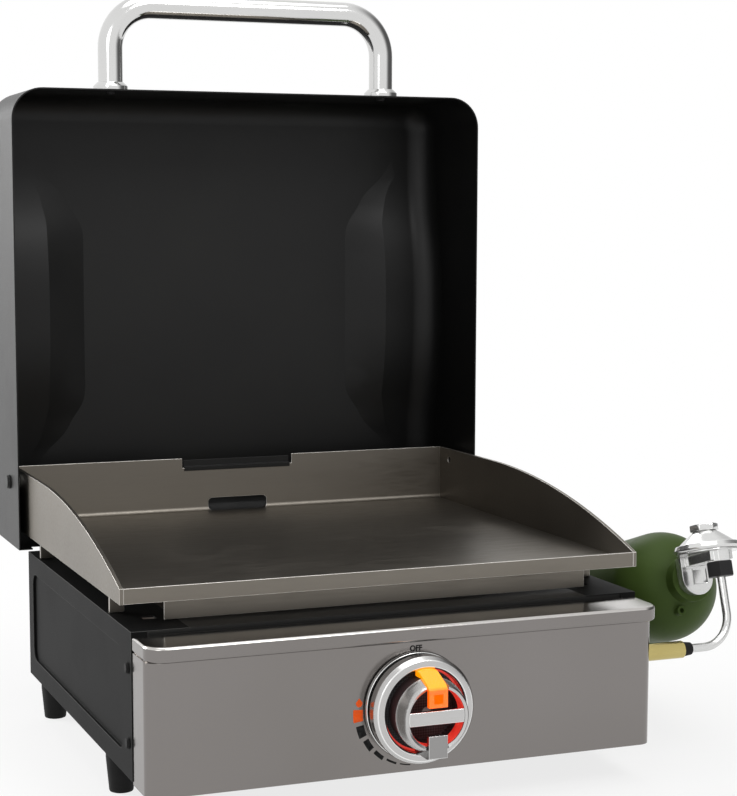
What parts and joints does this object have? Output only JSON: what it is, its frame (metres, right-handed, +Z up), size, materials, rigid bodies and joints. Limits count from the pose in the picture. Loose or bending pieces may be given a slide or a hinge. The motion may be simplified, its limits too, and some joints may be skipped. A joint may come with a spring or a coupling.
{
  "type": "tabletop griddle",
  "caption": "Tabletop gas griddle: sheet-metal base on rubber feet, steel cooking tray with curved side walls, hinged hood with tube handle, control knob, regulator and screw-in gas bottle.",
  "frame": {"origin": "on the table, midway between the four feet", "axes": "+Z up, +Y to the back where the hood is hinged, +X to the right of a cook facing the knob"},
  "size_m": [0.5634, 0.5279, 0.6465],
  "materials": {
    "black_enamel": "satin",
    "stainless": "brushed along the width",
    "griddle_steel": "warm rolled steel, matt",
    "bright_chrome": "polished",
    "zinc_steel": "zinc plated",
    "burner_steel": "heat-dulled",
    "yellow_brass": "machined",
    "satin_aluminium": "satin",
    "black_plastic": "matt",
    "amber_lens": "lit from within",
    "porcelain": "glazed",
    "black_rubber": "matt",
    "green_paint": "satin"
  },
  "bodies": {
    "base": {"foot_front_left": "black_rubber", "foot_front_right": "black_rubber", "foot_rear_left": "black_rubber", "foot_rear_right": "black_rubber", "foot_screws": "zinc_steel", "left_side_panel": "black_enamel", "right_side_panel": "black_enamel", "side_screws": "black_enamel", "fire_wall": "black_enamel", "rear_panel": "black_enamel", "front_panel": "stainless", "burner": "burner_steel", "burner_brackets": "zinc_steel", "gas_valve_body": "yellow_brass", "gas_orifice": "yellow_brass", "igniter_insulator": "porcelain", "igniter_electrode": "zinc_steel", "igniter_module": "black_plastic", "knob_base_ring": "satin_aluminium", "manifold_pipe": "satin_aluminium", "inlet_fitting": "yellow_brass", "inlet_locknut": "yellow_brass", "tube_seal": "black_rubber", "gas_tube": "bright_chrome", "outlet_nut": "black_plastic", "regulator_body": "bright_chrome", "regulator_cover": "bright_chrome", "regulator_cap": "bright_chrome"},
    "cooking_top": {"griddle_tray": "griddle_steel", "griddle_left_wall": "griddle_steel", "griddle_right_wall": "griddle_steel", "griddle_front_legs": "griddle_steel", "griddle_rear_legs": "griddle_steel", "wind_guard": "griddle_steel", "hood_pivot_left": "zinc_steel", "hood_pivot_right": "zinc_steel", "hood_spacer_left": "zinc_steel", "hood_spacer_right": "zinc_steel"},
    "drip_cup": {"grease_cup": "black_enamel"},
    "hood": {"hood_shell": "black_enamel", "hood_handle": "bright_chrome", "handle_bezels": "bright_chrome", "handle_inserts": "zinc_steel", "handle_screws": "zinc_steel"},
    "plug": {"valve_plug": "yellow_brass"},
    "knob": {"knob_outer_ring": "satin_aluminium", "knob_lens": "amber_lens", "knob_tail": "satin_aluminium", "knob_core": "black_plastic", "knob_nose_ring": "satin_aluminium", "knob_crossbar": "satin_aluminium", "knob_stem": "zinc_steel"},
    "bottle": {"gas_bottle": "green_paint", "bottle_thread": "yellow_brass", "relief_valve": "green_paint"}
  },
  "joints": [
    {"name": "top_lift", "type": "slide", "parent": "base", "child": "cooking_top", "axis": [0, 0, 1], "range_m": [0, 0.12]},
    {"name": "hood_hinge", "type": "hinge", "parent": "cooking_top", "child": "hood", "pos_m": [0, 0.1589, 0.2099], "axis": [1, 0, 0], "range_deg": [0, 88.2]},
    {"name": "drip_cup_lift", "type": "slide", "parent": "cooking_top", "child": "drip_cup", "axis": [0, 0, 1], "range_m": [0, 0.03]},
    {"name": "knob_turn", "type": "hinge", "parent": "base", "child": "plug", "pos_m": [0, -0.2471, 0.0822], "axis": [0, -1, 0], "range_deg": [0, 195]},
    {"name": "knob_push", "type": "slide", "parent": "plug", "child": "knob", "axis": [0, 1, 0], "range_m": [0, 0.004], "stiffness_N_per_m": 400, "springref_m": -0.004},
    {"name": "bottle_turn", "type": "hinge", "parent": "base", "child": "bottle", "pos_m": [0.2887, -0.11873, 0.12865], "axis": [0, -0.9511, 0.309], "continuous": true}
  ]
}
